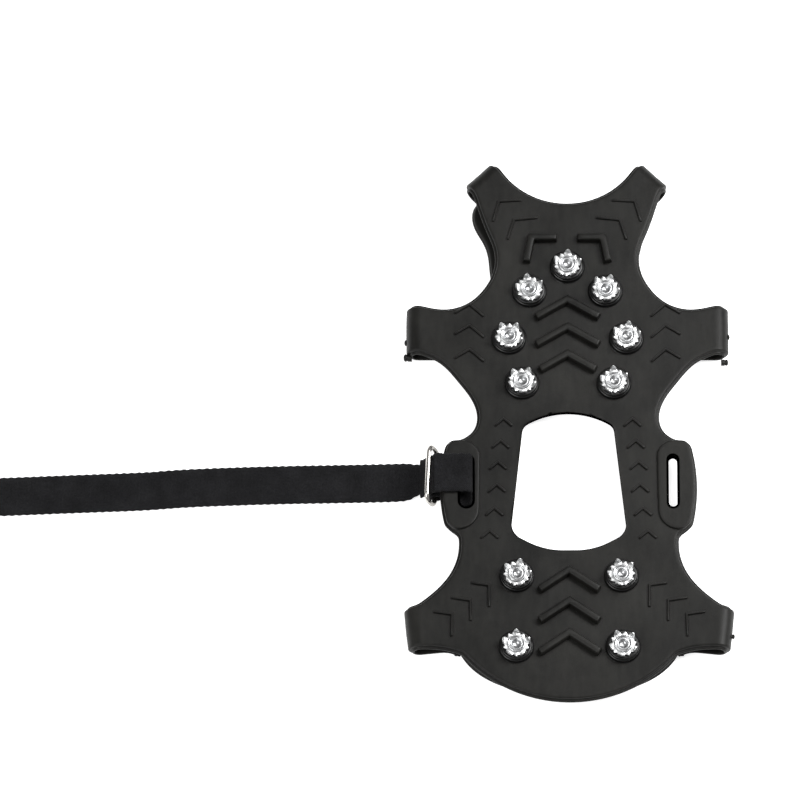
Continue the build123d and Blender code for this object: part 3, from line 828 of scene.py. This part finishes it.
rubber = rubber_finish("overshoe_rubber", (0.0012, 0.0012, 0.0010), (0.0125, 0.0122, 0.0108), 0.38, 0.54, 2200.0,
                       0.035 * MM, 0.17)
outline = even_loop(whole(right_outline()), OUTLINE_STEP)
arch = even_loop(whole(arch_half()), OUTLINE_STEP)


def ear_slot(side, stretch, wider=0.0):
    """A round-ended slot in the right (1) or left (-1) ear. The strap stretches the left one inwards."""
    width, length = SLOT_WIDTH + stretch + wider, SLOT_LENGTH + wider
    return rounded_oblong(width, length, width / 2 - 0.01) + SLOT_CENTRE * [side, 1] - [side * stretch / 2, 0]


hidden_slots = [even_loop(ear_slot(side, stretch, wider=2.4), OUTLINE_STEP, ease=0.5)
                for side, stretch in ((1, 0), (-1, LEFT_SLOT_STRETCH))]
arm_fill = []
for arm in ARMS:
    origin, out, across = arm_axes(arm)
    reach = ROLL / MM + arm[3]
    spots = grid((-2, -arm[2] / 2 - FLARE), (reach, arm[2] / 2 + FLARE), ARM_FILL_STEP / MM)
    laid = (origin + out * spots[:, :1] + across * spots[:, 1:]) * MM
    arm_fill += [laid, laid * [-1, 1]]
sole = rubber_slab("overshoe_sole", [outline, arch, *hidden_slots], edge_profile(UNDER, TREAD),
                   FILL_STEP, arm_fill, folded=True, relief=0.10 * MM)
arm_nodes = [f"{name}_arm_{side}" for name in ("toe", "mid", "heel") for side in ("right", "left")]
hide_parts("sole_plate", *arm_nodes)


# ---- Ears
# Two thicker pads of the same moulding, 1 mm proud of the tread face, each with a long slot for the strap.
EAR_TOP = TREAD + 1.0 * MM


def ear_edge():
    """The right-hand ear's outline, with its rounded corner on the heel side."""
    return np.concatenate([
        np.array([(41.2, -2.6), (44.8, -2.6)]),
        arc_through((47.2, -4.8), (49.4, -21.3), (47.6, -38.0)),
        np.array([(44.6, -41.0)]),
        arc_through((44.6, -41.0), (38.0, -40.0), (33.4, -33.0)),
        arc_through((33.0, -9.0), (35.6, -4.4), (41.2, -2.6)),
    ])


ear_profile = edge_profile(UNDER - 0.02 * MM, EAR_TOP, crown=0.6)
slot_profile = np.array([
    (-1.8, 11.0), (-0.9, 11.0), (-0.45, 10.92), (-0.15, 10.7), (0, 10.35), (0, 8.3), (-0.25, 7.75), (-0.7, 7.58),
    (-1.8, 7.58)]) * MM
ears = []
for side, stretch, label in ((1, 0, "right"), (-1, LEFT_SLOT_STRETCH, "left")):
    edge = even_loop(ear_edge() * [side, 1], 0.6 * MM, ease=0.9)
    slot = even_loop(ear_slot(side, stretch), 0.5 * MM, ease=0.3)
    verts = [rim(edge, 1, ear_profile).reshape(-1, 3), rim(slot, -1, slot_profile).reshape(-1, 3)]
    faces = ring_faces(len(ear_profile), len(edge), 0, capped=False)
    faces += ring_faces(len(slot_profile), len(slot), len(verts[0]), capped=False)
    count = len(verts[0]) + len(verts[1])
    inner = [rim(edge, 1, ear_profile[:1])[0][:, :2], rim(slot, -1, slot_profile[:1])[0][:, :2]]
    fill, triangles = flat_fill(inner, grid(edge.min(axis=0), edge.max(axis=0), 1.6 * MM), 0.8 * MM)
    for height, turn in ((EAR_TOP, 1), (UNDER - 0.02 * MM, -1)):
        verts.append(np.column_stack([fill, np.full(len(fill), height)]))
        faces += (triangles[:, ::turn] + count).tolist()
        count += len(fill)
    ears.append(shown(f"ear_{label}", np.concatenate(verts), faces, rubber, sharp=50, weld=0.001 * MM))


# ---- Tread bars and fine ribs
# Bold chevrons down the middle, a bracket each side of the toe, and fine chevrons on the arms and beside the arch,
# all moulded with the sole. Their walls are drafted, and their corners rounded by the mould.
BOLD_HEIGHT = 3.0
FINE_HEIGHT = 0.8


def bar_rings(start, corner, end, width, height, draft):
    """A two-legged bar: its cross-section carried along both legs, mitred at the corner, lower at its two ends."""
    a, b, c = (np.array(p, float) for p in (start, corner, end))
    leg_1, leg_2 = (b - a) / np.linalg.norm(b - a), (c - b) / np.linalg.norm(c - b)
    side_1, side_2 = np.array([-leg_1[1], leg_1[0]]), np.array([-leg_2[1], leg_2[0]])
    mitre = (side_1 + side_2) / (1 + side_1 @ side_2)
    soft = min(0.45, height / 2.2)
    left = np.array([
        (-0.5, -1.0), (-0.5, 0.0), (-0.5, 0.45), (-0.5, 1 - soft / height), (-0.42, 1 - 0.3 * soft / height),
        (-0.3, 1.0)])
    section = np.concatenate([left, left[::-1] * [-1, 1]])
    flare = 1 + 0.25 * (section[:, 1] <= 0) * draft
    across = section[:, 0] * (width - 2 * draft * np.clip(section[:, 1], 0, 1)) * flare
    lift = np.where(section[:, 1] < 0, -0.8, section[:, 1] * height)
    ease = np.array([0.0, 0.1, 0.3, 0.62])
    top = np.array([0.0, height - soft, height - 0.3 * soft, height])
    shrink = np.array([0.9, 0.94, 0.97, 1.0])
    length_1, length_2 = np.linalg.norm(b - a), np.linalg.norm(c - b)
    stations = [(a + leg_1 * e * width / 2, side_1, cap, s) for e, cap, s in zip(ease, top, shrink)]
    stations += [(a + leg_1 * length_1 * k / 6, side_1, height, 1) for k in range(2, 6)]
    stations += [(b, mitre, height, 1)]
    stations += [(b + leg_2 * length_2 * k / 6, side_2, height, 1) for k in range(1, 5)]
    last = zip(ease[::-1], top[::-1], shrink[::-1])
    stations += [(c - leg_2 * e * width / 2, side_2, cap, s) for e, cap, s in last]
    rings = []
    for place, side, cap, scale in stations:
        flat = place + side * (across * scale)[:, None]
        rings.append(np.column_stack([flat * MM, TREAD + np.minimum(lift, cap) * MM]))
    return rings


def bars(name, legs, width, height, draft):
    """All bars of one kind as one mesh."""
    verts, faces, start = [], [], 0
    for leg in legs:
        rings = bar_rings(*leg, width, height, draft)
        verts += rings
        faces += ring_faces(len(rings), len(rings[0]), start)
        start += len(rings) * len(rings[0])
    return shown(name, np.concatenate(verts), faces, rubber, sharp=44)


def mirrored(legs):
    """Bars with their mirror images across the middle of the sole."""
    return legs + [tuple((-x, y) for x, y in leg) for leg in legs]


CHEVRONS = [
    (12.2, 7.3, 54.6), (12.2, 7.3, 43.2), (10.8, 6.5, 31.9),
    (11.5, 8.0, -57.4), (11.5, 8.0, -70.0), (11.5, 8.0, -82.9)]
bold = [((-half, y - drop), (0, y), (half, y - drop)) for half, drop, y in CHEVRONS]
bold += mirrored([((3.9, 80.6), (13.8, 80.6), (15.8, 70.4))])
fine = [((17.5, 96.8), (26.3, 96.3), (28.7, 87.8)), ((11.3, 89.5), (20.5, 88.5), (23.0, 80.2))]
fine += [((32.2, y - 5.0), (37.8, y), (43.6, y - 3.6)) for y in (53.0, 44.2, 34.2)]
fine += [((x - 3.4, y - 3.0), (x, y), (x + 3.4, y - 3.0))
         for x, y in ((24.8, 5.4), (26.0, -3.7), (27.0, -12.5), (27.5, -21.8), (28.5, -31.5), (30.3, -40.9))]
fine += [((30.6, -72.0), (30.7, -63.1), (37.4, -62.1)), ((37.7, -77.7), (37.8, -69.3), (45.1, -68.2)),
         ((45.0, -83.9), (44.8, -75.0), (51.9, -73.9))]
tread_bars = bars("tread_bars", bold, 3.0, BOLD_HEIGHT, 0.22)
fine_ribs = bars("fine_ribs", mirrored(fine), 1.0, FINE_HEIGHT, 0.1)


# ---- Stud bosses
# Eleven round rubber pillars moulded on the sole, each with a step at its rim that keeps the star washer centred.
STUDS = [(0, 68.7), (14.7, 58.5), (22.7, 38.8), (17.7, 20.1), (20.0, -59.4), (20.4, -88.2)]
BOSS_PROFILE = np.array([
    (7.0, 9.9), (6.76, 10.03), (6.6, 10.25), (6.54, 10.6), (6.52, 11.05), (6.44, 11.3), (6.3, 11.46), (6.15, 11.5),
    (6.08, 11.56), (6.0, 11.7), (5.97, 12.1), (5.85, 12.3), (5.6, 12.4), (5.0, 12.36), (2.2, 12.34), (2.2, 11.5)])
stud_places = [(0, STUDS[0][1])] + [(side * x, y) for x, y in STUDS[1:] for side in (1, -1)]


def turned(profile, places, around=48, turn=0.0):
    """A profile of (radius, height) turned about an upright axis at each place, as rings of points."""
    angle = np.arange(around) * 2 * math.pi / around + turn
    circle = np.column_stack([np.cos(angle), np.sin(angle), np.zeros(around)])
    shape = (profile[:, 0][:, None, None] * circle + profile[:, 1][:, None, None] * np.array([0, 0, 1.0])) * MM
    verts = [shape.reshape(-1, 3) + np.array([x * MM, y * MM, 0]) for x, y in places]
    faces = []
    for k in range(len(places)):
        faces += ring_faces(len(profile), around, k * len(profile) * around)
    return np.concatenate(verts), faces


# The bosses get a darker copy of the sole's rubber. Its darker tone is painted shade, standing for the recess round
# each washer and the shadows of the teeth. Its lower roughness and stronger gloss are the bosses' own.
boss_rubber_painted_shade = rubber_finish("boss_rubber_painted_shade", (0.0010, 0.0010, 0.0010), (0.0040, 0.0040, 0.0038), 0.20, 0.36, 2600.0,
                            0.03 * MM, 0.34)
bosses = shown("stud_bosses", *turned(BOSS_PROFILE, stud_places), boss_rubber_painted_shade, sharp=60)


# ---- Arm knobs
# Short stubs left on the outer face of the rolled arms, where the mould was filled.
KNOBS = [(62.3, 41.0, 6.2, 1.0), (61.9, 36.4, 5.4, 0.85), (61.4, 31.4, 3.6, 1.25), (-62.4, 39.2, 4.6, 1.2),
         (-62.4, 33.2, 4.0, 1.45), (62.9, -82.6, 6.0, 0.95)]


def knob_shapes():
    """Each knob is a dome on a short neck, pointing straight outwards from its arm."""
    radius = np.array([1.0, 1.0, 0.82, 0.9, 1.0, 0.95, 0.7, 0.35, 0.05])
    out = np.array([-1.4, 0.0, 0.35, 0.6, 0.95, 1.3, 1.62, 1.78, 1.82])
    angle = np.arange(16) * 2 * math.pi / 16
    verts, faces = [], []
    for k, (x, y, z, size) in enumerate(KNOBS):
        place = np.zeros((len(out), 16, 3))
        place[..., 0] = (x + math.copysign(1, x) * (out * size * 0.7 - 0.9))[:, None]
        place[..., 1] = y + radius[:, None] * size * np.cos(angle)
        place[..., 2] = z + radius[:, None] * size * np.sin(angle)
        verts.append(place.reshape(-1, 3) * MM)
        faces += ring_faces(len(out), 16, k * len(out) * 16)
    return np.concatenate(verts), faces


knobs = shown("arm_knobs", *knob_shapes(), rubber, sharp=70)


# ---- Collar band
# The elastic loop that grips the shoe's upper. It joins all six arms and lies folded under the sole. Its left toe
# stretch bulges out past the sole's edge.
BAND_RIGHT = [
    (0, 82.5), (8.0, 83.0), (13.0, 85.2), (16.4, 88.4), (20.0, 90.3), (23.6, 89.4), (25.8, 86.4), (25.7, 82.4),
    (24.4, 76.5), (23.8, 70.0), (26.0, 61.0), (31.0, 51.5), (34.5, 42.0), (32.0, 28.0), (28.5, 12.0), (28.0, -8.0),
    (28.5, -28.0), (30.0, -46.0), (36.0, -62.0), (41.0, -78.0), (36.0, -90.0), (20.0, -99.0), (0, -102.0)]
BAND_LEFT_TOE = [
    (-8.8, 83.5), (-14.5, 86.4), (-19.4, 90.8), (-23.4, 95.2), (-28.0, 97.7), (-32.4, 96.5), (-33.0, 91.6),
    (-29.9, 85.2), (-27.3, 78.2), (-26.4, 70.0)]
BAND_SECTION = np.array([
    (-3.5, 0.6), (-3.35, 0.15), (-2.9, 0), (2.9, 0), (3.35, 0.15), (3.5, 0.6), (3.4, 1.0), (3.0, 1.25), (2.8, 1.9),
    (2.5, 2.3), (2.0, 2.4), (-2.0, 2.4), (-2.5, 2.3), (-2.8, 1.9), (-3.0, 1.25), (-3.4, 1.0)])


def band_loop():
    """The band's centreline: a closed smooth curve, mirrored left and right except for the left toe stretch."""
    left = BAND_LEFT_TOE + [(-x, y) for x, y in BAND_RIGHT[len(BAND_LEFT_TOE):-1]]
    points = BAND_RIGHT + left[::-1]
    dense = curve_through(*points[-4:], *points, *points[:5])
    away, half = np.linalg.norm(dense - points[0], axis=1), len(dense) // 2
    start, stop = np.argmin(away[:half]), half + np.argmin(away[half:])
    return even_loop(dense[start:stop], 1.0 * MM, ease=0.8)


def band_skin():
    """The band's section carried round its centreline, a bead along each edge."""
    loop = band_loop()
    normal = loop_normal(loop, 1)
    place = loop[:, None] + normal[:, None] * BAND_SECTION[:, 0][None, :, None] * MM
    height = np.tile(BAND_SECTION[:, 1] * MM, (len(loop), 1))[..., None]
    verts = np.concatenate([place, height], axis=2).reshape(-1, 3)
    return verts, ring_faces(len(loop), len(BAND_SECTION), looped=True)


collar = shown("collar_band_skin", *band_skin(), rubber, sharp=60)
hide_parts("collar_band")
for piece in (sole, *ears, tread_bars, fine_ribs, bosses, knobs, collar):
    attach(piece, "overshoe")


# ---- Star washers
# Pressed from zinc-plated steel sheet: ten points, of which every other one is bent up into a tooth that bites ice.
# Each sits on its boss, held by its rivet, turned as it happened to be riveted.
STUD_TURNS = [12, 64, 30, 8, 50, 22, 58, 36, 4, 44, 18]
BOSS_TOP = 12.4
WASHER_THICK = 0.8
STAR_INNER = 4.15
STAR_POINT = 5.2
TOOTH_HEIGHT = 3.0


def star_plate(turn):
    """A round plate whose rim runs out to ten points: a thin disc with rounded edges and a wavy radius, dished up
    slightly at the points."""
    around = 120
    angle = np.arange(around) * 2 * math.pi / around
    saw = np.abs((angle * 10 / (2 * math.pi) + 0.5) % 1 - 0.5) * 2
    reach = STAR_INNER + (STAR_POINT - STAR_INNER) * (1 - saw) ** 1.3
    share = np.array([0.0, 0.5, 0.8, 0.96, 1.0, 0.98, 0.8, 0.5, 0.0])
    level = np.array([1.0, 1.0, 0.98, 0.86, 0.55, 0.15, 0.0, 0.0, 0.0]) * WASHER_THICK
    radius = 2.25 + (reach[None] - 2.25) * share[:, None]
    lift = 0.16 * np.clip((radius - 3.8) / 1.2, 0, 1) ** 2
    x, y = radius * np.cos(angle + turn), radius * np.sin(angle + turn)
    verts = np.stack([x, y, level[:, None] + lift + BOSS_TOP], axis=-1)
    return verts.reshape(-1, 3), ring_faces(len(share), around, looped=True)


def teeth(turn, rng):
    """Five teeth: a tapering bar carried out from the plate, round a tight bend and up, a little uneven."""
    bend = np.linspace(0, math.radians(80), 6)
    path = [(3.6, 0.0), (4.0, 0.0)]
    path += [(4.15 + 0.75 * math.sin(a), 0.75 * (1 - math.cos(a))) for a in bend]
    path = np.array(path)
    rise = np.array([math.cos(bend[-1]), math.sin(bend[-1])])
    path = np.concatenate([path, path[-1] + rise * np.linspace(0.35, TOOTH_HEIGHT - 0.8, 5)[:, None]])
    run = np.concatenate([[0], np.cumsum(np.linalg.norm(np.diff(path, axis=0), axis=1))])
    share = run / run[-1]
    width = 1.45 * (1 - share) ** 0.62 + 0.26
    thick = WASHER_THICK / 2 * (1 - 0.45 * share ** 3)
    slope = np.gradient(path, axis=0)
    slope /= np.linalg.norm(slope, axis=1, keepdims=True)
    normal = np.column_stack([-slope[:, 1], slope[:, 0]])
    outline_u = np.array([-1, -0.9, -0.6, 0.6, 0.9, 1, 1, 0.9, 0.6, -0.6, -0.9, -1])
    outline_v = np.array([0.4, 0.8, 1, 1, 0.8, 0.4, -0.4, -0.8, -1, -1, -0.8, -0.4])
    verts, faces = [], []
    for k in range(5):
        angle = turn + k * 2 * math.pi / 5 + rng.normal(0, 0.05)
        tall = rng.uniform(0.88, 1.04)
        middle = path * [1, tall]
        radial = middle[:, :1] + normal[:, :1] * thick[:, None] * outline_v
        height = middle[:, 1:] + normal[:, 1:] * thick[:, None] * outline_v + BOSS_TOP + WASHER_THICK / 2
        aside = width[:, None] * outline_u
        x = radial * math.cos(angle) - aside * math.sin(angle)
        y = radial * math.sin(angle) + aside * math.cos(angle)
        verts.append(np.stack([x, y, height], axis=-1).reshape(-1, 3))
        faces += ring_faces(len(path), 12, k * len(path) * 12)
    return np.concatenate(verts), faces


zinc = plated("star_zinc", (0.50, 0.51, 0.52), (0.74, 0.74, 0.73), 0.30, 0.46, 900.0, 0.0008 * MM)
rng = np.random.default_rng(11)
for number, ((x, y), degrees) in enumerate(zip(stud_places, STUD_TURNS), 1):
    plate_verts, plate_faces = star_plate(math.radians(degrees))
    tooth_verts, tooth_faces = teeth(math.radians(degrees), rng)
    tilt = rng.normal(0, 0.018, 2)
    verts = np.concatenate([plate_verts, tooth_verts])
    verts[:, 2] += verts[:, 0] * tilt[0] + verts[:, 1] * tilt[1]
    faces = plate_faces + [[v + len(plate_verts) for v in face] for face in tooth_faces]
    star = shown(f"star_{number:02d}", verts * MM + np.array([x * MM, y * MM, 0]), faces, zinc, sharp=40)
    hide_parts(f"star_washer_{number:02d}")
    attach(star, "overshoe")


# ---- Rivets and backing washers
# Hollow steel rivets, zinc plated. The flange is rolled down on the star, the bore shows as a dimple, and the other
# end is closed on a flat washer let into the inner face of the sole.
RIVET_PROFILE = np.array([
    (0.02, 12.25), (0.5, 12.27), (1.0, 12.4), (1.38, 12.7), (1.6, 13.15), (1.78, 13.5), (1.98, 13.66), (2.2, 13.62),
    (2.42, 13.55), (2.62, 13.62), (2.78, 13.86), (2.98, 14.02), (3.2, 14.0), (3.4, 13.84), (3.5, 13.58), (3.46, 13.3),
    (3.3, 13.21), (2.2, 13.2), (2.2, 7.6), (3.3, 7.6), (3.48, 7.45), (3.4, 7.27), (3.1, 7.2), (0.02, 7.2)])
rivet_steel = plated("rivet_steel", (0.30, 0.31, 0.32), (0.56, 0.56, 0.56), 0.22, 0.38, 1200.0, 0.0008 * MM)
for number, place in enumerate(stud_places, 1):
    verts, faces = turned(RIVET_PROFILE, [place], around=44)
    rivet = shown(f"rivet_{number:02d}_turned", verts, faces, rivet_steel, sharp=60)
    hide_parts(f"rivet_{number:02d}")
    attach(rivet, "overshoe")
    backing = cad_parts[f"backing_washer_{number:02d}"]
    backing.data.materials.clear()
    backing.data.materials.append(rivet_steel)


# ---- Table and light
# A plain white table that glows like a light table, so that shadows stay faint. A soft key stands high on the right,
# and even light comes from all round.
TABLE_SIZE = 6.0
TABLE_TOP = -0.02 * MM
table_white, nodes, links, shader = finish_of("table", 0.9, Emission_Strength=0.74)
shader.inputs["Emission Color"].default_value = (1, 1, 1, 1)
shader.inputs["Base Color"].default_value = (0.80, 0.80, 0.80, 1)
shader.inputs["Specular IOR Level"].default_value = 0.1
half = TABLE_SIZE / 2
table_corners = [(x * half, y * half, TABLE_TOP) for x, y in ((-1, -1), (1, -1), (1, 1), (-1, 1))]
table = shown("table", table_corners, [(0, 1, 2, 3)], table_white)
world = bpy.data.worlds.new("room")
world.use_nodes = True
world.node_tree.nodes["Background"].inputs["Color"].default_value = (1, 1, 1, 1)
world.node_tree.nodes["Background"].inputs["Strength"].default_value = 0.34
bpy.context.scene.world = world
bpy.context.scene.view_settings.view_transform = "Standard"


def softbox(name, place, aim, size, power):
    """A square area light that points at a place."""
    light = bpy.data.lights.new(name, "AREA")
    light.shape = "SQUARE"
    light.size = size
    light.energy = power
    lamp = bpy.data.objects.new(name, light)
    lamp.location = place
    lamp.rotation_euler = (Vector(place) - Vector(aim)).to_track_quat("Z", "Y").to_euler()
    bpy.context.scene.collection.objects.link(lamp)


softbox("key", (0.95, 0.25, 1.15), (0, 0, 0), 0.7, 30)
softbox("fill", (-0.9, -0.6, 1.2), (-0.05, 0, 0), 0.9, 14)
softbox("sheen", (0.13, 0.27, 0.58), (0.04, 0.04, 0), 0.2, 0.9)
